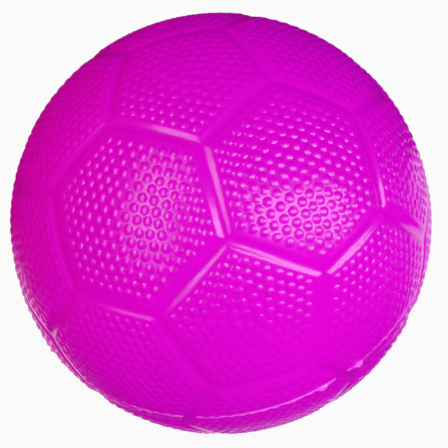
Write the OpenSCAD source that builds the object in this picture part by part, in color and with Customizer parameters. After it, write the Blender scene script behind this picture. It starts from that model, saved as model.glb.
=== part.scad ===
// A moulded handball with a needle valve. Two rubber cover halves are closed over a wound carcass and
// its bladder, and vulcanised together along the mould's parting line.
// The origin is the ball's centre, +Z is the axis of the panels' layout and -Y is the front.

/* [Ball] */
// Diameter over the panels
ball_d = 150; // [110:1:200]
// Thickness of the cover under a panel
cover_t = 2.3; // [1.8:0.1:4]
// Thickness of the layer of wound thread
winding_t = 0.5; // [0.3:0.1:1.5]
// Thickness of the bladder
bladder_t = 0.8; // [0.5:0.1:2]
// Bond line between one bonded piece and the next
bond = 0.1; // [0.05:0.05:0.2]

/* [Panels] */
// Angle from the middle of a pentagon to the middle of its edge, seen from the ball's centre
pentagon_reach = 17.2; // [15.5:0.1:18.5]
// Depth of the channels between the panels
channel_depth = 0.5; // [0.3:0.05:1.2]
// Width of a channel's floor
channel_floor = 1.4; // [0.8:0.1:3]
// Width of each of a channel's sloping walls
wall_run = 1.8; // [0.8:0.1:3]
// Tilt of the mould's parting plane against the layout of the panels
parting_tilt = 3.8; // [0:0.1:8]

/* [Valve] */
// Which pentagon of the upper ring holds the valve, counted anticlockwise from the front
valve_panel = 3; // [0:1:4]
// Diameter of the neck that shows in the cover
neck_d = 10; // [8:0.5:13]
// How far the valve's face lies below the panel
face_recess = 0.4; // [0.1:0.1:1]
// Width of the bevel around the hole in the cover
rim_bevel = 0.6; // [0.2:0.1:1]
// Diameter of the barrel inside the bladder
barrel_d = 13; // [11:0.5:18]
// Diameter of the flange that is bonded to the bladder
flange_d = 32; // [24:1:44]
// Thickness of that flange
flange_t = 1.2; // [0.8:0.1:2]
// Diameter of the patch around the neck, in the winding's layer
patch_d = 24; // [18:1:40]

/* [Valve core] */
// Length of the core from its face to its inner end
core_l = 15; // [12:0.5:22]
// Diameter of the core's head
head_d = 7; // [6:0.1:8]
// Thickness of the core's head
head_t = 1.2; // [0.8:0.1:2]
// Diameter over the stem's sealing ribs
stem_d = 5; // [4.2:0.1:5.6]
// Number of sealing ribs
rib_n = 4; // [2:1:6]
// Width of a sealing rib
rib_w = 1.4; // [0.8:0.1:1.6]
// Depth of the grooves between the ribs
rib_depth = 0.4; // [0.2:0.1:0.6]
// Diameter of the needle passage, for a 2 mm inflating needle
needle_d = 2.04; // [1.6:0.02:2.6]
// Diameter of the needle's lead-in at the face
lead_in_d = 3; // [2.8:0.1:3.8]
// Depth of the lead-in
lead_in_depth = 0.8; // [0.4:0.1:1.2]
// Radial clearance of the core in its housing
core_gap = 0.05; // [0.02:0.01:0.1]

/* [Hidden] */
$fn = 96;

cover_colour = [0.87, 0.0, 0.8];
thread_colour = [0.9, 0.88, 0.8];
bladder_colour = [0.16, 0.16, 0.17];
patch_colour = [0.3, 0.3, 0.32];
housing_colour = [0.12, 0.12, 0.13];
core_colour = [0.75, 0.74, 0.7];

// Radii of the layers, from outside in
panel_r = ball_d / 2;
floor_r = panel_r - channel_depth;
cover_in_r = panel_r - cover_t;
winding_r = cover_in_r - bond;
winding_in_r = winding_r - winding_t;
bladder_r = winding_in_r - bond;
bladder_in_r = bladder_r - bladder_t;
flange_r = bladder_in_r - bond;
flange_in_r = flange_r - flange_t;

// Layout of a truncated icosahedron that stands on a pentagon
ring_lat = atan(1 / 2);
face_angle = acos(sqrt((5 + 2 * sqrt(5)) / 15));
high_lat = 90 - face_angle;
low_lat = asin(sin(ring_lat) / (3 * cos(face_angle)));
hexagon_gap = 2 * acos((1 + sqrt(5)) / (2 * sqrt(3)));
fifth = 360 / 5;
sixth = 360 / 6;
front = -90;
front_gap = front + fifth / 2;
// The parting plane tilts about one of the layout's two-fold axes, so both halves have the same panels
tilt_lon = -fifth / 2;

// Each row of panels: latitude, longitude of the first, how many, direction of its first edge
pentagon_rows = [
    [90, 0, 1, front_gap],
    [ring_lat, front, 5, 0],
    [-ring_lat, front_gap, 5, 180],
    [-90, 0, 1, front]
];
hexagon_rows = [
    [high_lat, front_gap, 5, 180],
    [low_lat, front_gap, 5, 0],
    [-low_lat, front, 5, 180],
    [-high_lat, front, 5, 0]
];
// A hexagon's edges are shared by turns with a pentagon and with a hexagon
pentagon_edges = [for (k = [0:4]) [k * fifth, pentagon_reach]];
hexagon_edges = [for (k = [0:5]) [k * sixth, k % 2 == 0 ? face_angle - pentagon_reach : hexagon_gap / 2]];

// A blank reaches past its panel's channels, but not to the far side of the ball
blank_reach = 30;
blank_r = panel_r * sin(blank_reach);
wall_rise = channel_depth / wall_run;
// Where the slope of a wall would come to on the middle line of its channel, and how deep a panel is sunk
mid_wall_r = floor_r - wall_rise * channel_floor / 2;
sink = (floor_r - mid_wall_r) / 2;
space = 2 * ball_d;

// The valve's own axis: z points outwards from the ball's centre
valve_lon = front + valve_panel * fifth;
face_z = panel_r - face_recess;
core_low = face_z - core_l;
stem_l = core_l - head_t;
rib_pitch = (stem_l - rib_w) / rib_n;
hole_r = neck_d / 2 + bond;
eps = 0.01;

// Everything on the panel's side of the sloping wall at one edge. The wall is a cone about the axis of the
// channel's great circle, so the channel keeps one cross-section along its whole length.
module inside_wall(turn, reach) {
    rotate([0, 0, turn])
    rotate([0, reach, 0])
    rotate([0, -90, 0])
    cylinder(h = panel_r, r1 = mid_wall_r, r2 = mid_wall_r + panel_r * wall_rise);
}

// One raised panel about the z axis, sunk a little into the channel floor around it: a round blank,
// trimmed by the first so many of its walls. Its sphere is turned so that no pole or seam lies on the panel.
module panel(edges, walls) {
    if (walls > 0) {
        intersection() {
            panel(edges, walls - 1);
            inside_wall(edges[walls - 1][0], edges[walls - 1][1]);
        }
    } else {
        intersection() {
            rotate([0, 90, 0]) layer(panel_r, floor_r - sink);
            cylinder(h = ball_d, r = blank_r);
        }
    }
}

// The panels of the rows that reach into one half of the ball
module panel_rows(rows, edges, side) {
    for (row = rows) {
        if (row[0] * side > -blank_reach - parting_tilt) {
            for (k = [0:row[2] - 1]) {
                rotate([0, 90 - row[0], row[1] + k * fifth]) rotate([0, 0, row[3]]) panel(edges, len(edges));
            }
        }
    }
}

// One half of the cover, with side 1 for the upper half and -1 for the lower half
module cover_half(side) {
    intersection() {
        union() {
            layer(floor_r, cover_in_r);
            panel_rows(pentagon_rows, pentagon_edges, side);
            panel_rows(hexagon_rows, hexagon_edges, side);
        }
        rotate(parting_tilt, [cos(tilt_lon), sin(tilt_lon), 0])
            translate([-space / 2, -space / 2, side > 0 ? 0 : -space]) cube(space);
    }
}

// Puts its children on the valve's axis
module at_valve() {
    rotate([0, 90 - ring_lat, valve_lon]) children();
}

// A closed layer of the ball between two radii
module layer(outer_r, inner_r) {
    difference() {
        sphere(outer_r);
        sphere(inner_r);
    }
}

// A round piece of such a layer, on the valve's axis
module layer_disc(outer_r, inner_r, disc_d) {
    intersection() {
        layer(outer_r, inner_r);
        cylinder(h = outer_r, d = disc_d);
    }
}

module upper_cover() {
    color(cover_colour) difference() {
        cover_half(1);
        at_valve() {
            cylinder(h = ball_d, r = hole_r);
            translate([0, 0, panel_r - rim_bevel])
                cylinder(h = 2 * rim_bevel, r1 = hole_r, r2 = hole_r + 2 * rim_bevel);
        }
    }
}

module lower_cover() {
    color(cover_colour) cover_half(-1);
}

module thread_winding() {
    color(thread_colour) difference() {
        layer(winding_r, winding_in_r);
        at_valve() cylinder(h = ball_d, r = patch_d / 2 + bond);
    }
}

module bladder() {
    color(bladder_colour) difference() {
        layer(bladder_r, bladder_in_r);
        at_valve() cylinder(h = ball_d, r = hole_r);
    }
}

module valve_patch() {
    color(patch_colour) at_valve() difference() {
        layer_disc(winding_r, winding_in_r, patch_d);
        cylinder(h = ball_d, r = hole_r);
    }
}

module valve_housing() {
    color(housing_colour) at_valve() difference() {
        union() {
            layer_disc(flange_r, flange_in_r, flange_d);
            translate([0, 0, flange_in_r - eps]) cylinder(h = face_z - flange_in_r + eps, d = neck_d);
            intersection() {
                translate([0, 0, core_low]) cylinder(h = core_l, d = barrel_d);
                sphere(flange_r);
            }
        }
        cylinder(h = ball_d, r = stem_d / 2 + core_gap);
        translate([0, 0, face_z - head_t]) cylinder(h = ball_d, r = head_d / 2 + core_gap);
    }
}

module valve_core() {
    color(core_colour) at_valve() translate([0, 0, core_low]) difference() {
        union() {
            translate([0, 0, stem_l]) cylinder(h = head_t, d = head_d);
            cylinder(h = stem_l, d = stem_d - 2 * rib_depth);
            for (k = [0:rib_n - 1]) {
                translate([0, 0, k * rib_pitch]) cylinder(h = rib_w, d = stem_d);
            }
        }
        translate([0, 0, -eps]) cylinder(h = core_l + 2 * eps, d = needle_d);
        translate([0, 0, core_l - lead_in_depth])
            cylinder(h = lead_in_depth, d1 = needle_d, d2 = lead_in_d);
    }
}

upper_cover();
lower_cover();
thread_winding();
bladder();
valve_patch();
valve_housing();
valve_core();
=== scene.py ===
# %% [markdown]
# # A moulded handball
# The real ball is a rubber cover of two halves, moulded over a wound bladder. Everything that
# shows is the cover's relief: raised pentagons and hexagons, channels between them and thousands
# of small pips. The solids come in as a fixed frame first, and the looks are built around that
# frame. The ball's lengths are written in millimetres and become Blender's metres where a mesh is
# made. The stage around the ball is written in metres.

# %% Load the frame
import math
import bmesh
import bpy
import numpy as np
from mathutils import Matrix, Vector
from mathutils.geometry import delaunay_2d_cdt


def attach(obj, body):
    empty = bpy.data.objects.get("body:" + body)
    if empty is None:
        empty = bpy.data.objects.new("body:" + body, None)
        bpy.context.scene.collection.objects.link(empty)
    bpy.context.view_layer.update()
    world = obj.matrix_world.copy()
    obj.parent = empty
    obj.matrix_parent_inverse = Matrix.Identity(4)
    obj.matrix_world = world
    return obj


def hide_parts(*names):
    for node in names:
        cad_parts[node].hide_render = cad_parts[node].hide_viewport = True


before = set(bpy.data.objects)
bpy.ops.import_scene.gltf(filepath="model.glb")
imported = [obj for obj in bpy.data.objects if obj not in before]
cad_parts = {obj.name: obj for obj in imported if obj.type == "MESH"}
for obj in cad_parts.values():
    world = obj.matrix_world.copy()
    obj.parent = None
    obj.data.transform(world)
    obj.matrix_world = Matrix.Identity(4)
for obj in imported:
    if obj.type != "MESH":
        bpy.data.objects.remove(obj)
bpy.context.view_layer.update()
scene = bpy.context.scene

# %% [markdown]
# ## The ball's measures
# The cover's radii repeat those of the solids. Angles are seen from the ball's centre, because
# every edge of a panel is an arc of a great circle. The layout is a football's: pentagons at the
# corners of an icosahedron and hexagons on its faces, standing on a pentagon. An edge is given by
# its direction from the panel's middle and by how far off it is. A hexagon borders by turns on a
# pentagon and on a hexagon.

# %% Measures of the cover and its panels
mm = 0.001
panel_r = 75.0
inner_r = 72.7
channel_depth = 0.5
fifth = math.radians(72)
front = math.radians(-90)
front_gap = front + fifth / 2
ring_lat = math.atan(0.5)
face_angle = math.acos(math.sqrt((5 + 2 * math.sqrt(5)) / 15))
high_lat = math.pi / 2 - face_angle
low_lat = math.asin(math.sin(ring_lat) / (3 * math.cos(face_angle)))
pentagon_reach = math.radians(17.2)
hexagon_reach = math.acos((1 + math.sqrt(5)) / (2 * math.sqrt(3)))
hexagon_reaches = (face_angle - pentagon_reach, hexagon_reach)
pentagon_edges = [(k * fifth, pentagon_reach) for k in range(5)]
hexagon_edges = [(k * math.pi / 3, hexagon_reaches[k % 2]) for k in range(6)]
print("edges lie at", np.round(np.degrees([pentagon_reach, *hexagon_reaches]), 2), "degrees")

# %% [markdown]
# ## Panels in their places
# A panel is placed by three turns, so one hexagon and one pentagon serve for all of them. The
# mould's parting plane is tilted a little against the layout. The halves are made in the mould's
# own frame, where that plane is level, and turned at the end. The tilt is about an axis around
# which half a turn carries the layout onto itself, so both halves have the same panels.

# %% Place the panels of the upper half
parting_tilt = math.radians(3.8)
tilt_lon = -fifth / 2
tilt_axis = Vector((math.cos(tilt_lon), math.sin(tilt_lon), 0))
mould_turn = Matrix.Rotation(parting_tilt, 3, tilt_axis)
valve_panel = 3
# Latitude, longitude of the first panel, how many, direction of a panel's first edge, kind
upper_rows = [
    (math.pi / 2, 0, 1, front_gap, "pentagon"),
    (ring_lat, front, 5, 0, "pentagon"),
    (high_lat, front_gap, 5, math.pi, "hexagon"),
    (low_lat, front_gap, 5, 0, "hexagon"),
    (-low_lat, front, 5, math.pi, "hexagon"),
]


def placement(lat, lon, turn):
    """The turn that carries a panel from the top of the ball to its place in the mould."""
    about_itself = Matrix.Rotation(turn, 3, "Z")
    down = Matrix.Rotation(math.pi / 2 - lat, 3, "Y")
    round_ball = Matrix.Rotation(lon, 3, "Z")
    in_layout = round_ball @ down @ about_itself
    return np.array(mould_turn.transposed() @ in_layout)


upper_panels = []
for lat, lon, count, turn, kind in upper_rows:
    for k in range(count):
        has_valve = kind == "pentagon" and count == 5 and k == valve_panel
        place = placement(lat, lon + k * fifth, turn)
        upper_panels.append(("valve" if has_valve else kind, place))
valve_turn = placement(ring_lat, front + valve_panel * fifth, 0)
print(len(upper_panels), "panels reach into the upper half")

# %% [markdown]
# ## Where the pips sit
# On the real mould the pips were cut in rows that run along a panel's edges, ring inside ring. A
# modifier could scatter them, but then the rows would be lost. So a ring is laid out flat, on the
# plane that touches the ball at the panel's middle. The rows are straight and evenly spaced
# there, and are carried out to the ball afterwards.

# %% Lay out rings of pips on a flat panel
edge_row = 4.9
# Each ring: its place counted from the middle, and how many pips stand along one side
hexagon_rings = [(k, k) for k in range(1, 8)]
pentagon_rings = [(1, 1), (2, 2), (3, 3), (4, 5), (5, 6), (6, 7)]


def corners_of(lines):
    """Corners of the polygon whose sides lie at (direction, distance)."""
    out = []
    for k in range(len(lines)):
        (a, da), (b, db) = lines[k], lines[(k + 1) % len(lines)]
        m = np.array([[math.cos(a), math.sin(a)], [math.cos(b), math.sin(b)]])
        out.append(np.linalg.solve(m, np.array([da, db])))
    return np.array(out)


def ring_places(edges, rings):
    """Flat places of a panel's pips, from the middle outwards."""
    last = rings[-1][0]
    outer = [math.tan(reach - edge_row / panel_r) for _, reach in edges]
    pts = [np.zeros(2)]
    for ring, steps in rings:
        c = corners_of([(turn, d * ring / last) for (turn, _), d in zip(edges, outer)])
        for k in range(len(c)):
            a, b = c[k - 1], c[k]
            pts += [a + (b - a) * s / steps for s in range(steps)]
    return np.array(pts)


print("a hexagon has room for", len(ring_places(hexagon_edges, hexagon_rings)), "pips")

# %% [markdown]
# ## Rows that wander
# The rows of a real mould are never quite straight, and a perfect lattice looks like a drawing. A
# slow wave and a small random step move each pip, always from the same seed, so that every run
# gives the same ball. Each pip is then shrunk where a neighbour or a channel is near. Around the
# valve the cover stays smooth, as a collar.

# %% Move the pips and give them a size
pip_d = 3.2
pip_spread = (0.96, 1.04)
pip_gap = 0.08
smallest_r = 0.8
edge_of_top = 2.55
edge_gap = 0.05
wander = 0.28
# Waves across and along each of the two flat directions
wander_waves = ((27, 19), (23, 21))
jitter = 0.1
collar_r = 8.2
far_off = 99
hexagon_seed = 3
pentagon_seed = 5


def outward(p):
    """Unit directions of flat points."""
    p = np.atleast_2d(p)
    d = np.column_stack([p, np.ones(len(p))])
    return d / np.linalg.norm(d, axis=1, keepdims=True)


def wandered(pts, rng):
    """The places, moved by a slow wave and a small random step."""
    phase = rng.uniform(0, 2 * math.pi, 4)
    for axis, (across, along) in enumerate(wander_waves):
        swing = np.sin(pts[:, 1 - axis] * across + phase[2 * axis])
        fade = np.cos(pts[:, axis] * along + phase[2 * axis + 1])
        pts[:, axis] += wander / panel_r * swing * fade
    return pts + rng.normal(0, jitter / panel_r, pts.shape)


def pip_radii(pts, edges, rng):
    """Radii of the pips at flat places, smaller where a neighbour or a channel is near."""
    radii = 0.5 * pip_d * rng.uniform(*pip_spread, len(pts))
    on_ball = outward(pts) * panel_r
    apart = np.linalg.norm(on_ball[:, None] - on_ball[None], axis=2) + np.eye(len(pts)) * far_off
    radii = np.minimum(radii, 0.5 * (apart.min(axis=1) - pip_gap))
    for turn, reach in edges:
        top = reach - edge_of_top / panel_r
        along = np.arctan(pts @ np.array([math.cos(turn), math.sin(turn)]))
        radii = np.minimum(radii, (top - along) * panel_r - edge_gap)
    return radii


def pip_centres(edges, rings, seed, clear_r=None):
    """Flat centres and radii of a panel's pips, all of them outside clear_r."""
    rng = np.random.RandomState(seed)
    pts = wandered(ring_places(edges, rings), rng)
    radii = pip_radii(pts, edges, rng)
    keep = radii > smallest_r
    if clear_r:
        keep &= np.linalg.norm(outward(pts)[:, :2] * panel_r, axis=1) >= clear_r + radii
    return pts[keep], radii[keep]


pips = {
    "hexagon": pip_centres(hexagon_edges, hexagon_rings, hexagon_seed),
    "pentagon": pip_centres(pentagon_edges, pentagon_rings, pentagon_seed),
    "valve": pip_centres(pentagon_edges, pentagon_rings, pentagon_seed, collar_r),
}
for kind, (pts, radii) in pips.items():
    smallest, largest = np.round(2 * np.array([radii.min(), radii.max()]), 2)
    print(kind, len(pts), "pips, diameter", smallest, "to", largest, "mm")

# %% [markdown]
# ## Walls and pips in profile
# Cut through, the real cover shows soft S-shaped walls at its channels, and pips that are low
# domes with a crisp foot. A bump texture can shade such forms, but it gives neither the pips'
# rims nor the two bright lines along a channel. So the relief is real geometry, and two small
# functions give the heights that all of it shares.

# %% Give heights to walls and pips
wall_start = 0.35
pip_edge = 0.92
pip_crown = 0.45
pip_flank = 0.02
pip_edge_slope = 0.49


def wall_height(u):
    """Height over the channel's floor at a distance from its middle line."""
    t = min(max((u - wall_start) / (edge_of_top - wall_start), 0), 1)
    return channel_depth * t * t * (3 - 2 * t)


def pip_height(share):
    """Height of a pip over its foot, both in radii: a round crown and a steeper edge."""
    edge = pip_edge_slope * (1 - max(share, pip_edge))
    inside = min(share, pip_edge)
    crown = pip_crown / 2 * (pip_edge**2 - inside**2)
    return edge + crown - pip_flank / 3 * (pip_edge**3 - inside**3)


print("a pip stands", round(pip_d / 2 * pip_height(0), 2), "mm high")

# %% [markdown]
# ## Walls around a panel
# Every panel stands on walls that rise from the middle lines of the channels around it. Loops of
# points step up the wall, and their corners get rounder towards the top. A bevel could do that on
# a flat plate, but here the loops have to follow great circles. Middle lines are split the same
# way from both sides, so that neighbours weld without a gap.

# %% Build the walls of a panel
edge_steps = 8
arc_steps = 3
corner_round = 0.45
wall_loops = [0.0, 0.35, 0.75, 1.1, 1.45, 1.8, 2.15, edge_of_top]


def slerp(a, b, n):
    """n directions from a towards b, b left out."""
    angle = math.acos(np.clip(a @ b, -1, 1))
    t = np.arange(n) / n
    from_a, from_b = np.sin((1 - t) * angle)[:, None], np.sin(t * angle)[:, None]
    return (from_a * a + from_b * b) / math.sin(angle)


def edge_loop(edges, u, corner):
    """Directions of a closed loop at distance u from the middle lines, its corners rounded."""
    n = len(edges)
    lines = [(turn, math.tan(reach - u / panel_r) - corner / panel_r) for turn, reach in edges]
    inset = corners_of(lines)

    def rounded(k, turn):
        return inset[k] + corner / panel_r * np.array([math.cos(turn), math.sin(turn)])

    loop = []
    for k in range(n):
        turn, after = edges[k][0], edges[(k + 1) % n][0]
        bend = (after - turn) % (2 * math.pi)
        arc = outward([rounded(k, turn + bend * s / arc_steps) for s in range(arc_steps + 1)])
        first = outward(rounded(k - 1, turn))[0]
        loop += list(slerp(first, arc[0], edge_steps)) + list(arc[:-1])
    return np.array(loop)


def wall_mesh(edges):
    """Points and triangles of the walls around a panel, and the directions of the top loop."""
    pts, faces = [], []
    for u in wall_loops:
        loop = edge_loop(edges, u, corner_round * u)
        pts.append(loop * (panel_r - channel_depth + wall_height(u)))
    n = len(loop)
    for low in range(0, n * (len(wall_loops) - 1), n):
        high = low + n
        for k in range(n):
            j = (k + 1) % n
            faces += [(low + k, low + j, high + j), (low + k, high + j, high + k)]
    return pts, faces, loop


print("a hexagon's walls take", len(wall_mesh(hexagon_edges)[1]), "triangles")

# %% [markdown]
# ## The web between the pips
# Between its pips a panel is nearly flat, and sinks a little in the middle of each three. A grid
# fill can't leave a hundred round holes open. A constrained Delaunay triangulation can: it is
# given loops of flat points, and makes triangles that never cross a loop.

# %% Fill a panel between its pips
web_sag = 0.02
web_room = (0.25, 1.3)
same_place = 1e-9


def web_middles(centres, radii):
    """Flat places in the middle of each three pips, clear of their feet."""
    found = delaunay_2d_cdt([Vector(c) for c in centres], [], [], 0, same_place)[2]
    out = []
    for f in found:
        corner = centres[list(f)]
        middle = corner.mean(axis=0)
        room = np.linalg.norm(corner - middle, axis=1) * panel_r - radii[list(f)]
        if room.min() > web_room[0] and room.max() < web_room[1]:
            out.append(middle)
    return np.array(out)


def fill_between(groups):
    """Triangles between flat loops. The first loop is the border, the last group single points."""
    owner = np.concatenate([np.full(len(p), g) for g, p in enumerate(groups)])
    links, base = [], 0
    for p in groups[:-1]:
        links += [(base + k, base + (k + 1) % len(p)) for k in range(len(p))]
        base += len(p)
    joined = [Vector(p) for p in np.concatenate(groups)]
    result = delaunay_2d_cdt(joined, links, [], 1, same_place)
    origin = [o[0] if o else -1 for o in result[3]]
    faces = []
    for f in result[2]:
        a, b, c = (origin[v] for v in f)
        in_one_loop = owner[a] == owner[b] == owner[c] and 0 < owner[a] < len(groups) - 1
        if not in_one_loop:
            faces.append((a, b, c))
    return faces


print("a hexagon's web sinks at", len(web_middles(*pips["hexagon"])), "places")

# %% [markdown]
# ## Pips
# A pip is a dome with a foot, a shoulder, a crown and a top. Balls set into the panel would be
# quicker to place, but they would leave hidden faces inside the cover. Here each dome shares the
# points of its foot with the web. The feet are turned a little from pip to pip, so that their
# corners don't line up.

# %% Shape a pip
rim_n = 12
crown_n = rim_n // 2
crown_share = 0.5
foot_turn = (7, 11)


def circle(n):
    """Angles of n evenly spaced points around a circle."""
    return np.arange(n) * 2 * math.pi / n


def pip_foot(centre, r):
    """A pip's outward direction, the directions around it, and the points of its foot."""
    up = outward(centre)[0]
    east = np.cross([0, 1, 0], up)
    east /= np.linalg.norm(east)
    north = np.cross(up, east)
    phase = circle(rim_n) + foot_turn[0] * centre[0] + foot_turn[1] * centre[1]
    around = np.outer(np.cos(phase), east) + np.outer(np.sin(phase), north)
    foot = panel_r * (math.cos(r / panel_r) * up + math.sin(r / panel_r) * around)
    return up, around, foot


def pip_dome(up, around, r):
    """The points over a pip's foot: its shoulder, its crown with half as many, and its top."""
    pts = []
    for share, part in ((pip_edge, around), (crown_share, around[::2])):
        d = math.cos(share * r / panel_r) * up + math.sin(share * r / panel_r) * part
        pts.append(d * (panel_r + r * pip_height(share)))
    pts.append(up[None] * (panel_r + r * pip_height(0)))
    return np.concatenate(pts)


def dome_faces(foot, shoulder):
    """Triangles of a dome, from the first point of its foot and the first of its shoulder."""
    faces = []
    crown = shoulder + rim_n
    top = crown + crown_n
    for k in range(rim_n):
        j = (k + 1) % rim_n
        faces += [(foot + k, foot + j, shoulder + j), (foot + k, shoulder + j, shoulder + k)]
    for k in range(crown_n):
        a, b, c = (shoulder + (2 * k + step) % rim_n for step in range(3))
        p, q = crown + k, crown + (k + 1) % crown_n
        faces += [(a, b, p), (b, c, q), (b, q, p), (p, q, top)]
    return faces


print("a pip takes", len(dome_faces(0, rim_n)), "triangles")

# %% [markdown]
# ## One panel as a mesh
# Now walls, web and pips are put together, once for each kind of panel. The pentagon that holds
# the valve has a round hole, whose bevelled edge starts at the panel's face. Copies of these
# three meshes will make the whole cover, which is quicker than cutting every panel anew.

# %% Put a panel together
hole_r = 5.1
hole_bevel = 0.6
hole_n = 48


def hole_ring(r, z):
    """A ring of points around the middle of a panel, at a height over the ball's centre."""
    turn = circle(hole_n)
    return np.column_stack([r * np.cos(turn), r * np.sin(turn), np.full(hole_n, z)])


def flattened(pts):
    """Flat places of points on the ball."""
    return pts[:, :2] / pts[:, 2:]


def panel_mesh(kind):
    """Points, triangles, edges of the pips' feet, points on the middle lines and at the hole."""
    pts, faces, loop = wall_mesh(hexagon_edges if kind == "hexagon" else pentagon_edges)
    border = np.arange(len(loop))
    top = len(loop) * (len(wall_loops) - 1)
    size = top + len(loop)
    groups = [flattened(loop)]
    hole = np.zeros(0, int)
    if kind == "valve":
        r = hole_r + hole_bevel
        pts.append(hole_ring(r, math.sqrt(panel_r**2 - r * r)))
        groups.append(flattened(pts[-1]))
        hole = np.arange(size, size + hole_n)
        size += hole_n
    first_foot = size
    domes = []
    for centre, r in zip(*pips[kind]):
        up, around, foot = pip_foot(centre, r)
        pts.append(foot)
        groups.append(flattened(foot))
        domes.append(pip_dome(up, around, r))
    groups.append(web_middles(*pips[kind]))
    pts.append(outward(groups[-1]) * (panel_r - web_sag))
    size += rim_n * len(domes) + len(groups[-1])
    faces += [(top + a, top + b, top + c) for a, b, c in fill_between(groups)]
    sharp = []
    for k, dome in enumerate(domes):
        foot = first_foot + k * rim_n
        sharp += [(foot + i, foot + (i + 1) % rim_n) for i in range(rim_n)]
        faces += dome_faces(foot, size)
        pts.append(dome)
        size += len(dome)
    return np.concatenate(pts), np.array(faces), np.array(sharp), border, hole


panel_meshes = {kind: panel_mesh(kind) for kind in pips}
for kind, parts in panel_meshes.items():
    print(kind, len(parts[0]), "points", len(parts[1]), "triangles")

# %% [markdown]
# ## The parting line
# A mould always lets a little rubber out between its halves. That leaves a fine raised line with
# a few torn specks. A separate thin ring could stand for it, but it would look laid on. So the
# line is lifted out of the cover itself. Its height is a sum of slow and quick waves, and each
# speck is a small peak.

# %% Give the parting line its height
flash_mean = 0.20
# Each wave: how high, how many around the ball, phase
flash_waves = ((0.05, 9, 1.0), (0.04, 31, 0.0), (0.03, 83, 0.5))
speck_n = 46
speck_range = (0.1, 0.5)
# Half the width of a speck's foot: at least, and more for each millimetre of its height
speck_foot = (0.5, 1.2)
rng = np.random.RandomState(11)
speck_at = rng.uniform(-math.pi, math.pi, speck_n)
speck_size = rng.uniform(*speck_range, speck_n)
# The largest torn pieces stand at the front right
speck_at[:3] = np.radians([-76.5, -84.0, -66.0])
speck_size[:3] = (1.2, 0.6, 0.9)


def flash_height(lon):
    """How far the parting line stands out at a longitude."""
    h = flash_mean
    for high, waves, phase in flash_waves:
        h = h + high * np.sin(waves * lon + phase)
    for at, size in zip(speck_at, speck_size):
        off = np.abs((lon - at + math.pi) % (2 * math.pi) - math.pi)
        h = h + size * np.clip(1 - off * panel_r / (speck_foot[0] + speck_foot[1] * size), 0, 1)
    return h


print("parting line stands out", np.round(flash_height(np.linspace(-3, 3, 7)), 2), "mm")

# %% [markdown]
# ## Half a cover
# The upper half takes every panel that reaches above the parting plane and is then cut there. The
# raised line runs over the panels and stops in the channels, so two more cuts near the plane give
# it points to lift. The lower half is the same half turned over, because the layout repeats
# itself that way, without the valve.

# %% Weld the panels and cut them at the parting plane
weld_reach = 1e-6
plane_reach = 2e-6
line_cuts = (0.0, 0.22, 0.5)
line_top = line_cuts[-1]
line_taper = 1.5
at_top_cut = 0.01
# The line fades out this far below a panel's face, and loses this share of a pip's height on it
line_fade = 0.25
pip_loss = 0.6


def outer_skin(panels):
    """The welded outside of the upper half as a bmesh, with its points around the valve's hole."""
    pts, faces, sharp, border, hole = [], [], [], [], []
    size = 0
    for kind, turn in panels:
        p, f, s, b, h = panel_meshes[kind]
        pts.append(p @ turn.T)
        faces.append(f + size)
        sharp.append(s + size)
        border.append(b + size)
        hole += list(h + size)
        size += len(p)
    mesh = bpy.data.meshes.new("skin")
    mesh.from_pydata(np.concatenate(pts) * mm, [], np.concatenate(faces).tolist())
    bm = bmesh.new()
    bm.from_mesh(mesh)
    bpy.data.meshes.remove(mesh)
    bm.verts.ensure_lookup_table()
    for a, b in np.concatenate(sharp):
        bm.edges.get((bm.verts[a], bm.verts[b])).smooth = False
    rim = [bm.verts[i] for i in hole]
    middle_lines = [bm.verts[i] for i in np.concatenate(border)]
    bmesh.ops.remove_doubles(bm, verts=middle_lines, dist=weld_reach)
    return bm, rim


def cut_and_line(bm, side):
    """Cuts the skin at the parting plane, keeps what is above and lifts the parting line."""
    for z in line_cuts:
        bmesh.ops.bisect_plane(
            bm,
            geom=bm.verts[:] + bm.edges[:] + bm.faces[:],
            dist=plane_reach,
            plane_co=(0, 0, z * mm),
            plane_no=(0, 0, 1),
            clear_inner=z == 0.0,
        )
    for v in bm.verts:
        z = v.co.z / mm
        if z < line_top - at_top_cut:
            r = v.co.length / mm
            lon = math.atan2(v.co.y, v.co.x)
            if side < 0:
                lon = 2 * tilt_lon - lon
            share = (1 - z / line_top) ** line_taper
            on_panel = min(max((r - panel_r + line_fade) / line_fade, 0), 1)
            height = max(flash_height(lon) - pip_loss * max(r - panel_r, 0), 0.0)
            v.co *= 1 + share * on_panel * height / r


print("the line is cut at", line_cuts, "mm from the plane")

# %% [markdown]
# ## The inside of a half
# A cover is a thick shell, so it also needs an inside and a flat joint at the parting plane. The
# inside is a plain half ball. It is triangulated flat as seen from the far pole, which keeps
# every triangle on the right side and leaves the valve's hole open. The joint is zipped up by
# longitude, from the many points of the relief to the few of the inside.

# %% Build the inside and the joint
# Each row of points on the inside: latitude in degrees, how many
inner_rows = [(lat, 72) for lat in range(0, 60, 10)] + [(60, 36), (70, 36), (80, 12), (90, 1)]
inner_n = inner_rows[0][1]
hole_clear = 2.5


def inner_points():
    """The points of the inside, its loop at the parting plane first."""
    rows = []
    for degrees, n in inner_rows:
        lat, lon = math.radians(degrees), circle(n)
        z = np.full(n, math.sin(lat))
        rows.append(np.column_stack([math.cos(lat) * np.cos(lon), math.cos(lat) * np.sin(lon), z]))
    return inner_r * np.concatenate(rows)


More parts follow.
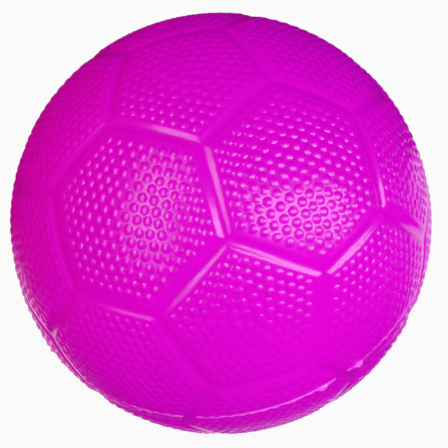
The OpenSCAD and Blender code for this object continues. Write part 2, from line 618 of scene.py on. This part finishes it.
def inner_skin(bm, with_hole):
    """Adds the inside of the upper half; gives its loop at the plane and its loop at the hole."""
    pts = inner_points()
    links = [(k, (k + 1) % inner_n) for k in range(inner_n)]
    if with_hole:
        off_axis = np.linalg.norm(pts - inner_r * valve_turn[:, 2], axis=1)
        pts = pts[off_axis > hole_r + hole_clear]
    hole_from = len(pts)
    if with_hole:
        ring = hole_ring(hole_r, math.sqrt(inner_r**2 - hole_r**2)) @ valve_turn.T
        pts = np.concatenate([pts, ring])
        links += [(hole_from + k, hole_from + (k + 1) % hole_n) for k in range(hole_n)]
    from_pole = pts[:, :2] / (inner_r + pts[:, 2:])
    result = delaunay_2d_cdt([Vector(p) for p in from_pole], links, [], 1, same_place)
    origin = [o[0] for o in result[3]]
    verts = [bm.verts.new(p * mm) for p in pts]
    for f in result[2]:
        a, b, c = (origin[v] for v in f)
        if min(a, b, c) < hole_from:
            bm.faces.new((verts[a], verts[c], verts[b]))
    return verts[:inner_n], verts[hole_from:]


def zip_joint(bm, outer, inner):
    """Fills the flat ring between two loops of points, taken by longitude."""
    def lon(v):
        return math.atan2(v.co.y, v.co.x)

    a, b = sorted(outer, key=lon), sorted(inner, key=lon)
    i = j = 0
    while i < len(a) or j < len(b):
        at_a = lon(a[i]) if i < len(a) else math.inf
        at_b = lon(b[j]) if j < len(b) else math.inf
        if at_a <= at_b:
            bm.faces.new((a[i - 1], b[(j - 1) % len(b)], a[i]))
            i += 1
        else:
            bm.faces.new((b[j - 1], b[j], a[(i - 1) % len(a)]))
            j += 1


print("the inside has", len(inner_points()), "points,", inner_n, "of them at the joint")

# %% [markdown]
# ## The two halves
# Skin, inside, joint and the wall of the valve's hole make one closed mesh, which is what a
# printer or a physics engine needs. Faces are shaded smooth, and only edges that really bend are
# kept crisp. Each half rides on the ball's body and takes the place of its plain solid.

# %% Make the two halves of the cover
crease = math.radians(34)


def line_hole(bm, rim, at_hole):
    """Builds the bevel and the wall of the valve's hole, down to the inside."""
    middle = hole_ring(hole_r, panel_r - hole_bevel) @ valve_turn.T
    middle = [bm.verts.new(p * mm) for p in middle]
    for upper, lower in ((rim, middle), (middle, at_hole)):
        for k in range(hole_n):
            j = (k + 1) % hole_n
            bm.faces.new((upper[k], upper[j], lower[j], lower[k]))


def all_triangles(bm):
    """Splits every face of more than three corners."""
    bmesh.ops.triangulate(bm, faces=[f for f in bm.faces if len(f.verts) > 3])


def cover_half(name, side):
    """One half of the cover as a closed mesh: side 1 is the upper half, -1 the lower one."""
    panels = [(k if side > 0 or k != "valve" else "pentagon", turn) for k, turn in upper_panels]
    bm, rim = outer_skin(panels)
    cut_and_line(bm, side)
    all_triangles(bm)
    ends = {v for e in bm.edges if e.is_boundary for v in e.verts}
    joint = [v for v in ends if abs(v.co.z) < 2 * plane_reach]
    for v in joint:
        v.co.z = 0.0
    at_plane, at_hole = inner_skin(bm, side > 0)
    zip_joint(bm, joint, at_plane)
    if rim:
        line_hole(bm, rim, at_hole)
    if side < 0:
        turned_over = Matrix.Rotation(math.pi, 3, tilt_axis)
        bmesh.ops.rotate(bm, verts=bm.verts[:], matrix=turned_over)
    bmesh.ops.rotate(bm, verts=bm.verts[:], matrix=mould_turn)
    bmesh.ops.recalc_face_normals(bm, faces=bm.faces[:])
    for e in bm.edges:
        if e.is_manifold and e.calc_face_angle(0) > crease:
            e.smooth = False
    for f in bm.faces:
        f.smooth = True
    all_triangles(bm)
    loose = sum(1 for e in bm.edges if not e.is_manifold)
    mesh = bpy.data.meshes.new(name)
    bm.to_mesh(mesh)
    bm.free()
    obj = bpy.data.objects.new(name, mesh)
    scene.collection.objects.link(obj)
    print(name, len(mesh.polygons), "triangles", loose, "edges not closed")
    return obj


upper_cover = cover_half("cover_upper_half", 1)
lower_cover = cover_half("cover_lower_half", -1)
for obj, node in ((upper_cover, "upper_cover"), (lower_cover, "lower_cover")):
    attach(obj, "ball")
    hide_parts(node)

# %% [markdown]
# ## Finishes
# Every finish is a small node tree: two shades mixed by noise, a shine that changes with faint
# scuffs, and a fine grain as bump. The noise is read in the piece's own coordinates, so it stays
# put on the piece and needs no flat picture wrapped around a ball. One function serves for all
# the rubbers and the thread.

# %% Make a finish
grain_depth = 0.1 * mm
shade_stops = (0.35, 0.65)
scuffs_per_shade = 3.1
shade_detail, scuff_detail, grain_detail = 4, 6, 3


def finish(name, colour, deep, scale, rough, rough_swing, bump, bump_scale):
    """A procedural rubber or thread: two shades mixed by noise, uneven shine and a fine grain."""
    mat = bpy.data.materials.new(name)
    mat.use_nodes = True
    nodes, links = mat.node_tree.nodes, mat.node_tree.links
    shader = nodes["Principled BSDF"]
    where = nodes.new("ShaderNodeTexCoord")

    def noise(size, detail):
        node = nodes.new("ShaderNodeTexNoise")
        node.inputs["Scale"].default_value = size
        node.inputs["Detail"].default_value = detail
        links.new(where.outputs["Object"], node.inputs["Vector"])
        return node.outputs["Fac"]

    shades = nodes.new("ShaderNodeValToRGB")
    for stop, place, shade in zip(shades.color_ramp.elements, shade_stops, (deep, colour)):
        stop.position = place
        stop.color = (*shade, 1)
    links.new(noise(scale, shade_detail), shades.inputs["Fac"])
    links.new(shades.outputs["Color"], shader.inputs["Base Color"])
    shine = nodes.new("ShaderNodeMapRange")
    shine.inputs["To Min"].default_value = rough - rough_swing
    shine.inputs["To Max"].default_value = rough + rough_swing
    links.new(noise(scuffs_per_shade * scale, scuff_detail), shine.inputs["Value"])
    links.new(shine.outputs["Result"], shader.inputs["Roughness"])
    relief = nodes.new("ShaderNodeBump")
    relief.inputs["Strength"].default_value = bump
    relief.inputs["Distance"].default_value = grain_depth
    links.new(noise(bump_scale, grain_detail), relief.inputs["Height"])
    links.new(relief.outputs["Normal"], shader.inputs["Normal"])
    return mat


cover_rubber = finish(
    "magenta_rubber", colour=(0.83, 0.0, 0.73), deep=(0.79, 0.0, 0.69), scale=24,
    rough=0.17, rough_swing=0.03, bump=0.03, bump_scale=900,
)
print("the cover's finish is", cover_rubber.name)

# %% [markdown]
# ## Finishes of the inner pieces and the valve
# The pieces under the cover keep the shape of their solids and only get a finish: pale cotton
# thread, sooty bladder rubber, a greyer patch and the valve's black housing with its pale core.
# Of these only the valve shows on a closed ball, but a piece taken out should look right too.

# %% Dress the pieces that keep their solids
thread = finish(
    "wound_thread", colour=(0.80, 0.75, 0.62), deep=(0.66, 0.60, 0.48), scale=160,
    rough=0.85, rough_swing=0.08, bump=0.8, bump_scale=1400,
)
bladder_rubber = finish(
    "bladder_rubber", colour=(0.022, 0.022, 0.025), deep=(0.014, 0.014, 0.016), scale=40,
    rough=0.6, rough_swing=0.1, bump=0.3, bump_scale=700,
)
patch_rubber = finish(
    "patch_rubber", colour=(0.075, 0.075, 0.085), deep=(0.05, 0.05, 0.058), scale=60,
    rough=0.7, rough_swing=0.1, bump=0.3, bump_scale=700,
)
valve_rubber = finish(
    "valve_rubber", colour=(0.013, 0.013, 0.015), deep=(0.008, 0.008, 0.009), scale=120,
    rough=0.42, rough_swing=0.1, bump=0.3, bump_scale=1500,
)
core_rubber = finish(
    "core_rubber", colour=(0.52, 0.50, 0.45), deep=(0.42, 0.40, 0.35), scale=200,
    rough=0.45, rough_swing=0.1, bump=0.3, bump_scale=1800,
)
for node, mat in (
    ("thread_winding", thread),
    ("bladder", bladder_rubber),
    ("valve_patch", patch_rubber),
    ("valve_housing", valve_rubber),
    ("valve_core", core_rubber),
):
    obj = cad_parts[node]
    obj.data.materials.clear()
    obj.data.materials.append(mat)
    print(node, "wears", mat.name)

# %% [markdown]
# ## The cover's own rubber
# Bright coloured rubber lets light in a little way and out again beside it, which keeps the shade
# on its pips soft. Subsurface scattering over a millimetre or two does that. The raised parting
# line catches light as a thin bright line, so a paler shade is painted along it as a painted
# highlight, and the rubber scatters nothing there. Two measures find that line without a
# texture: how near a point is to the parting plane, and whether it stands as high as a panel.

# %% Soften the rubber and paint a highlight along the parting line
rubber_ior = 1.33
rubber_depth = 0.8
rubber_radius = (0.8, 0.2, 0.8)
rubber_scale = 2 * mm
# Painted highlight along the parting line: a paler shade where the raised line catches light
line_highlight_colour = (1.0, 0.12, 0.95, 1)
line_reach = (1.3 * line_top, 0.9 * line_top)
line_floor = (panel_r - 0.1, panel_r)


def paint_line_highlight(mat):
    """Mixes a painted highlight, a paler shade, in along the parting line, and ends scattering
    there.
    """
    nodes, links = mat.node_tree.nodes, mat.node_tree.links
    shader = nodes["Principled BSDF"]
    base = shader.inputs["Base Color"]
    plain = base.links[0].from_socket
    where = nodes.new("ShaderNodeTexCoord")

    def climb(value, stops):
        node = nodes.new("ShaderNodeMapRange")
        node.inputs["From Min"].default_value = stops[0] * mm
        node.inputs["From Max"].default_value = stops[1] * mm
        links.new(value, node.inputs["Value"])
        return node.outputs["Result"]

    across = nodes.new("ShaderNodeVectorMath")
    across.operation = "DOT_PRODUCT"
    across.inputs[1].default_value = mould_turn.col[2]
    links.new(where.outputs["Object"], across.inputs[0])
    off_plane = nodes.new("ShaderNodeMath")
    off_plane.operation = "ABSOLUTE"
    links.new(across.outputs["Value"], off_plane.inputs[0])
    from_middle = nodes.new("ShaderNodeVectorMath")
    from_middle.operation = "LENGTH"
    links.new(where.outputs["Object"], from_middle.inputs[0])
    # Mask of the painted highlight: near the parting plane and as high as a panel
    line_highlight_mask = nodes.new("ShaderNodeMath")
    line_highlight_mask.operation = "MULTIPLY"
    links.new(climb(off_plane.outputs[0], line_reach), line_highlight_mask.inputs[0])
    links.new(climb(from_middle.outputs["Value"], line_floor), line_highlight_mask.inputs[1])
    shade = nodes.new("ShaderNodeMix")
    shade.data_type = "RGBA"
    shade.inputs["B"].default_value = line_highlight_colour
    links.new(line_highlight_mask.outputs[0], shade.inputs["Factor"])
    links.new(plain, shade.inputs["A"])
    links.new(shade.outputs["Result"], base)
    depth = nodes.new("ShaderNodeMapRange")
    depth.inputs["To Min"].default_value = rubber_depth
    depth.inputs["To Max"].default_value = 0.0
    links.new(line_highlight_mask.outputs[0], depth.inputs["Value"])
    links.new(depth.outputs["Result"], shader.inputs["Subsurface Weight"])


shader = cover_rubber.node_tree.nodes["Principled BSDF"]
shader.inputs["IOR"].default_value = rubber_ior
shader.inputs["Subsurface Radius"].default_value = rubber_radius
shader.inputs["Subsurface Scale"].default_value = rubber_scale
# Paints the parting line's highlight into the cover's colour
paint_line_highlight(cover_rubber)
for half in (upper_cover, lower_cover):
    half.data.materials.append(cover_rubber)
    print(half.name, "wears", cover_rubber.name)

# %% [markdown]
# ## Camera
# The photograph's outline, and the places where three channels meet, give the camera's direction,
# its roll and how far off it was, so these are set as measured. The image is square, and the ball
# sits a little off its middle.

# %% Set the camera
image_side = 448
focal_px = 902.0
ball_px = (220.9, 223.4)
outline_r = 75.15
camera_away = 4.4 * outline_r * mm
sensor_side = 36.0
right = Vector((0.9670491, -0.2006709, -0.1566753))
above = Vector((0.2545432, 0.7503267, 0.6100964))
back = Vector((-0.0048710, -0.6298738, 0.7766822))
lens = bpy.data.cameras.new("camera")
lens.sensor_width = sensor_side
lens.sensor_fit = "HORIZONTAL"
lens.lens = focal_px / image_side * sensor_side
lens.shift_x = (image_side / 2 - ball_px[0]) / image_side
lens.shift_y = (ball_px[1] - image_side / 2) / image_side
lens.clip_start = 0.01
camera = bpy.data.objects.new("camera", lens)
turn = Matrix((right, above, back)).transposed()
camera.matrix_world = Matrix.Translation(back * camera_away) @ turn.to_4x4()
scene.collection.objects.link(camera)
scene.camera = camera
print("lens", round(lens.lens, 1), "mm, shift", round(lens.shift_x, 4), round(lens.shift_y, 4))

# %% [markdown]
# ## Lamps
# Two soft boxes stand to the left and right of the camera and give each pip and channel wall its
# glints. A glint tells where its lamp was: the ray from the camera is mirrored at the ball, and
# points at the lamp. The left one has a dimmer halo, as a cloth-fronted box has. They only show
# in the shine, so the rubber's colour can be lit apart from them, by a broad lamp near the camera
# and a weak warm one from the left, which leave no glint.

# %% Set the lamps
box_away = 1.2
halo_away = 1.21
broad_away = 1.5
fill_away = 1.2
left_roll = -12
warm = (1.0, 0.35, 0.1)


def seen(x, y, z):
    """A direction given in the camera's own right, up and back."""
    return (right * x + above * y + back * z).normalized()


def mirrored(px, py, away):
    """Direction of a lamp, so far away from the ball, whose glint shows at a pixel."""
    eye = back * camera_away
    ray = seen((px - ball_px[0]) / focal_px, (ball_px[1] - py) / focal_px, -1)
    along = -eye.dot(ray)
    reach = along - math.sqrt(along**2 - eye.length_squared + (panel_r * mm) ** 2)
    spot = eye + ray * reach
    return (spot + away * ray.reflect(spot.normalized())).normalized()


def soft_box(name, aim, away, wide, tall, power, roll=0.0, tint=(1, 1, 1), gloss=True, matt=True):
    """A rectangular lamp in a direction from the ball, turned to face it."""
    lamp = bpy.data.lights.new(name, "AREA")
    lamp.shape = "RECTANGLE"
    lamp.size, lamp.size_y = wide, tall
    lamp.energy = power
    lamp.color = tint
    obj = bpy.data.objects.new(name, lamp)
    z = aim.normalized()
    x = above.cross(z).normalized()
    y = z.cross(x)
    turn = Matrix((x, y, z)).transposed() @ Matrix.Rotation(math.radians(roll), 3, "Z")
    obj.matrix_world = Matrix.Translation(z * away) @ turn.to_4x4()
    obj.visible_glossy = gloss
    obj.visible_diffuse = matt
    obj.visible_camera = False
    scene.collection.objects.link(obj)
    print(name, "stands at", [round(c, 2) for c in obj.location])


soft_box(
    "left_box", mirrored(153, 206, box_away), box_away,
    wide=0.42, tall=0.70, power=4.2, roll=left_roll, matt=False,
)
soft_box(
    "left_halo", mirrored(152, 211, halo_away), halo_away,
    wide=0.60, tall=1.25, power=6.0, roll=left_roll, matt=False,
)
soft_box(
    "right_box", mirrored(302, 214, box_away), box_away,
    wide=1.20, tall=0.47, power=18.5, matt=False,
)
soft_box(
    "broad_lamp", seen(0.35, -0.05, 0.95), broad_away,
    wide=1.6, tall=1.6, power=19.2, gloss=False,
)
soft_box(
    "warm_fill", seen(-1, 0.25, 0.1), fill_away,
    wide=0.8, tall=1.2, power=5.5, tint=warm, gloss=False,
)

# %% [markdown]
# ## Room
# The room lights the ball evenly from all sides, and only the camera sees it as a white backdrop.
# A Light Path node tells the two apart. The room stays out of the shine, where the boxes do the
# work.

# %% Set the room
room_strength = 0.33
room_tint = (0.9, 0.93, 1.0, 1)
white = (1, 1, 1, 1)
world = bpy.data.worlds.new("room")
world.use_nodes = True
nodes, links = world.node_tree.nodes, world.node_tree.links
room = nodes["Background"]
room.inputs["Color"].default_value = room_tint
room.inputs["Strength"].default_value = room_strength
backdrop = nodes.new("ShaderNodeBackground")
backdrop.inputs["Color"].default_value = white
path = nodes.new("ShaderNodeLightPath")
either = nodes.new("ShaderNodeMixShader")
links.new(path.outputs["Is Camera Ray"], either.inputs["Fac"])
links.new(room.outputs[0], either.inputs[1])
links.new(backdrop.outputs[0], either.inputs[2])
links.new(either.outputs[0], nodes["World Output"].inputs["Surface"])
world.cycles_visibility.glossy = False
scene.world = world
scene.view_settings.view_transform = "Standard"
print("the room's strength is", room_strength)

# %% [markdown]
# ## Floor
# The floor is white paper. It keeps the ball's soft shadow, and most of its white is given to
# what the camera and the shine see of it, so that it throws no extra light up on the ball.

# %% Lay the paper
floor_z = -75.4 * mm
floor_reach = 8.0
floor_n = 64
paper_shade = 0.6
paper_glow = 0.93


def floor_piece(name, mesh, mat):
    """Puts a mesh into the scene as part of the stage."""
    obj = bpy.data.objects.new(name, mesh)
    mesh.materials.append(mat)
    scene.collection.objects.link(obj)
    return obj


def matt_material(name, shade):
    """A material without shine, and its shader."""
    mat = bpy.data.materials.new(name)
    mat.use_nodes = True
    shader = mat.node_tree.nodes["Principled BSDF"]
    shader.inputs["Base Color"].default_value = (shade, shade, shade, 1)
    shader.inputs["Roughness"].default_value = 1.0
    shader.inputs["Specular IOR Level"].default_value = 0.0
    return mat, shader


paper, dull = matt_material("white_paper", paper_shade)
nodes, links = paper.node_tree.nodes, paper.node_tree.links
glow = nodes.new("ShaderNodeEmission")
path = nodes.new("ShaderNodeLightPath")
found = path.outputs["Is Camera Ray"]
for ray in ("Is Glossy Ray", "Is Transmission Ray"):
    either = nodes.new("ShaderNodeMath")
    either.operation = "MAXIMUM"
    links.new(found, either.inputs[0])
    links.new(path.outputs[ray], either.inputs[1])
    found = either.outputs[0]
part = nodes.new("ShaderNodeMath")
part.operation = "MULTIPLY"
part.inputs[1].default_value = paper_glow
links.new(found, part.inputs[0])
mix = nodes.new("ShaderNodeMixShader")
links.new(part.outputs[0], mix.inputs["Fac"])
links.new(dull.outputs[0], mix.inputs[1])
links.new(glow.outputs[0], mix.inputs[2])
links.new(mix.outputs[0], nodes["Material Output"].inputs["Surface"])
floor_mesh = bpy.data.meshes.new("floor")
bm = bmesh.new()
bmesh.ops.create_circle(bm, cap_ends=True, segments=floor_n, radius=floor_reach)
bm.to_mesh(floor_mesh)
bm.free()
floor = floor_piece("floor", floor_mesh, paper)
floor.location.z = floor_z
print("the floor lies at", round(floor.location.z, 4), "m")

# %% [markdown]
# ## A dark cloth on the floor
# A white floor would show all around the ball's edge as a pale band, because rubber mirrors
# strongly at a grazing look. A photographer lays a dark cloth there. This one is only seen in the
# shine, so it is a painted dark reflection: near the ball it stands in for the paper's shade
# under the ball, which the glowing paper doesn't show in the shine. It lies close around the
# ball and leaves some paper open to the right and, less, to the left, which gives the pale limbs.

# %% Lay the cloth
cloth_n = 96
cloth_z = -75.3 * mm
cloth_near = 0.07
cloth_shade = 0.01
# Direction of an opening in degrees, how far it reaches past the near edge, how narrow it is
openings = ((9, 0.20, 12), (160, 0.11, 6))


def near_edge(turn):
    """How near the ball the cloth comes in one direction."""
    lobes = []
    for at, more, narrow in openings:
        lobes.append(more * max(math.cos(turn - math.radians(at)), 0) ** narrow)
    return cloth_near + sum(lobes)


ring = []
for k in range(cloth_n):
    turn = 2 * math.pi * k / cloth_n
    for r in (near_edge(turn), floor_reach):
        ring.append((r * math.cos(turn), r * math.sin(turn), cloth_z))
around = 2 * cloth_n
quads = [(k, k + 1, (k + 3) % around, (k + 2) % around) for k in range(0, around, 2)]
cloth_mesh = bpy.data.meshes.new("dark_cloth")
cloth_mesh.from_pydata(ring, [], quads)
black_cloth = matt_material("black_cloth", cloth_shade)[0]
cloth = floor_piece("dark_cloth", cloth_mesh, black_cloth)
# Only the shine sees the cloth: a painted dark reflection, near the ball a painted shade
cloth.visible_camera = cloth.visible_diffuse = cloth.visible_shadow = False
nearest = min(near_edge(math.radians(d)) for d in range(360))
print("the cloth comes as near as", round(nearest, 3), "m")
